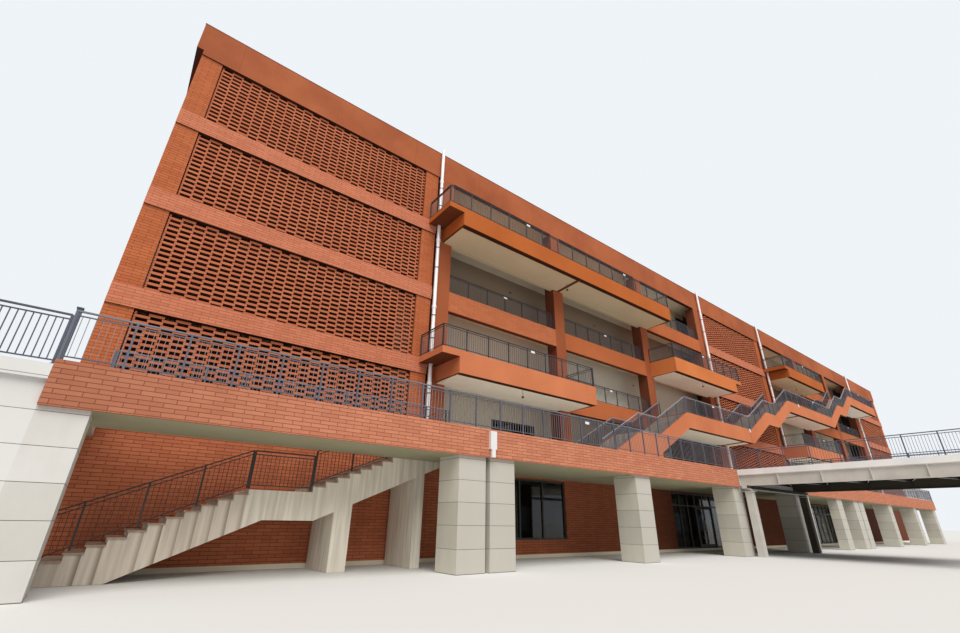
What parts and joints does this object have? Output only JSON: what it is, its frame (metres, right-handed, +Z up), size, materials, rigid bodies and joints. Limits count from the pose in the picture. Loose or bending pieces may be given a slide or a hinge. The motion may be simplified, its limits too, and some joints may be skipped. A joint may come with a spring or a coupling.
{
  "type": "school building, 1:10 scale model",
  "caption": "Long brick school block with pierced brick screens, open galleries, a climbing outside stair, a terrace on stone piers and a footbridge, at 1:10.",
  "frame": {"origin": "middle of the ground floor plate's underside, at ground level", "axes": "+X along the front from its left end, +Y from the front to the back, +Z up"},
  "size_m": [9.436, 2.711, 2.13],
  "materials": {
    "brick": "fired facing brick, matt",
    "render": "smooth through-coloured render, matt",
    "white_concrete": "painted concrete, matt",
    "plaster": "painted plaster, matt",
    "cut_stone": "honed stone panels",
    "brown_stone": "honed brown stone",
    "railing_metal": "satin dark grey paint",
    "white_metal": "satin white paint",
    "cream_metal": "satin cream paint",
    "frame_metal": "satin black paint",
    "glass": "clear glazing"
  },
  "bodies": {
    "building": {"balcony_railings": "railing_metal", "bridge_copings": "white_metal", "bridge_crossbeams": "cream_metal", "bridge_crossheads": "cream_metal", "bridge_floor": "white_concrete", "bridge_girders": "cream_metal", "bridge_posts": "cream_metal", "bridge_railings": "railing_metal", "climbing_railings": "railing_metal", "climbing_steps": "white_concrete", "climbing_stringers": "render", "corridor_walls": "plaster", "downpipes": "white_metal", "east_screens": "brick", "edge_beams": "render", "end_parapets": "render", "entrance_frames": "frame_metal", "entrance_glass": "glass", "entrance_lintels": "brick", "fifth_floor": "white_concrete", "fifth_floor_balconies": "render", "floor_bands": "brick", "fourth_floor": "white_concrete", "fourth_floor_balcony": "render", "front_parapet": "render", "front_window_frames": "frame_metal", "front_window_glass": "glass", "gable_walls": "brick", "gallery_railings": "railing_metal", "ground_front_wall": "brick", "ground_slab": "white_concrete", "ground_stair_flights": "white_concrete", "ground_stair_props": "white_concrete", "ground_stair_railings": "railing_metal", "ground_stair_treads": "brown_stone", "link_abutment": "cut_stone", "link_deck": "white_concrete", "link_railings": "railing_metal", "middle_screens": "brick", "open_bay_piers": "render", "pilasters": "brick", "rear_glass": "glass", "rear_parapet": "render", "rear_wall": "brick", "roof_slab": "white_concrete", "second_floor": "white_concrete", "stone_piers": "cut_stone", "terrace_deck": "white_concrete", "terrace_fascia": "brick", "terrace_railings": "railing_metal", "third_floor": "white_concrete", "third_floor_balconies": "render", "walkways": "render", "west_screens": "brick"},
    "east_entrance_left_leaf": {"east_entrance_left_leaf": "frame_metal"},
    "east_entrance_right_leaf": {"east_entrance_right_leaf": "frame_metal"},
    "west_entrance_left_leaf": {"west_entrance_left_leaf": "frame_metal"},
    "west_entrance_right_leaf": {"west_entrance_right_leaf": "frame_metal"}
  },
  "joints": [
    {"name": "west_left_leaf_swing", "type": "hinge", "parent": "building", "child": "west_entrance_left_leaf", "pos_m": [-1.2055, -0.585, 0.02], "axis": [0, 0, -1], "range_deg": [0, 90]},
    {"name": "west_right_leaf_swing", "type": "hinge", "parent": "building", "child": "west_entrance_right_leaf", "pos_m": [-1.0145, -0.585, 0.02], "axis": [0, 0, 1], "range_deg": [0, 90]},
    {"name": "east_left_leaf_swing", "type": "hinge", "parent": "building", "child": "east_entrance_left_leaf", "pos_m": [1.007, -0.585, 0.02], "axis": [0, 0, -1], "range_deg": [0, 90]},
    {"name": "east_right_leaf_swing", "type": "hinge", "parent": "building", "child": "east_entrance_right_leaf", "pos_m": [1.198, -0.585, 0.02], "axis": [0, 0, 1], "range_deg": [0, 90]}
  ]
}
